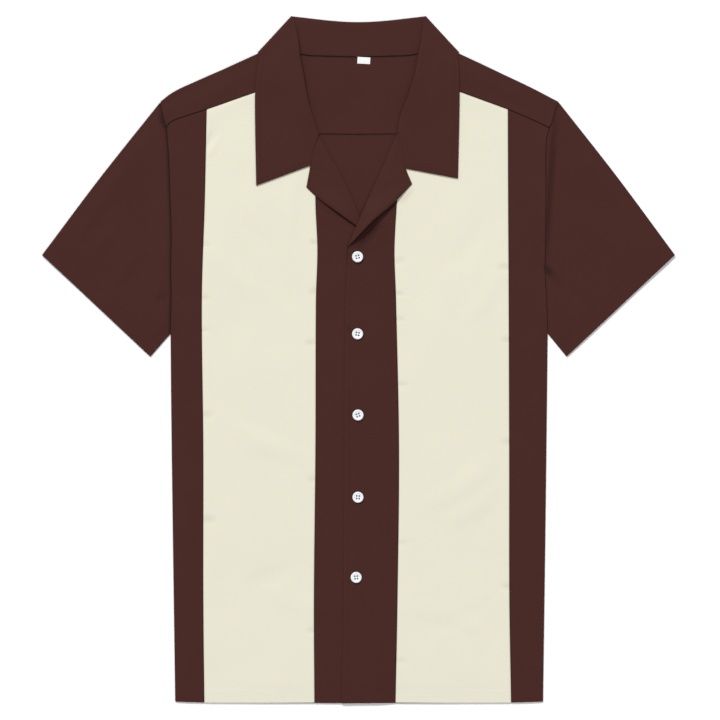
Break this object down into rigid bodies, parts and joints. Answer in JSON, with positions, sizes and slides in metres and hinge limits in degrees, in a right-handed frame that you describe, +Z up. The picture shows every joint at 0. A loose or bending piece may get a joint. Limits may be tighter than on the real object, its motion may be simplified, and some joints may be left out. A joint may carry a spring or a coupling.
{
  "type": "bowling shirt laid flat",
  "caption": "Short-sleeved camp-collar shirt with cream front panels on brown, buttoned and laid flat face up",
  "frame": {"origin": "centre of the bounding box on the surface that the shirt lies on", "axes": "+X to the viewer's right (the wearer's left), +Y along the body from hem to collar, +Z up from the surface"},
  "size_m": [0.7404, 0.8042, 0.0074],
  "materials": {
    "brown_cloth": "matt plain weave with a faint sheen",
    "cream_cloth": "matt plain weave",
    "label_tape": "smooth woven tape",
    "button": "polished"
  },
  "bodies": {
    "root": {"back": "brown_cloth", "yoke": "brown_cloth", "front_side_right": "brown_cloth", "front_side_left": "brown_cloth", "front_panel_right": "cream_cloth", "front_panel_left": "cream_cloth", "front_centre_right": "brown_cloth", "front_centre_left": "brown_cloth", "sleeve_right": "brown_cloth", "sleeve_left": "brown_cloth", "collar": "brown_cloth", "label": "label_tape", "button_1": "button", "button_2": "button", "button_3": "button", "button_4": "button", "button_5": "button"}
  },
  "joints": []
}
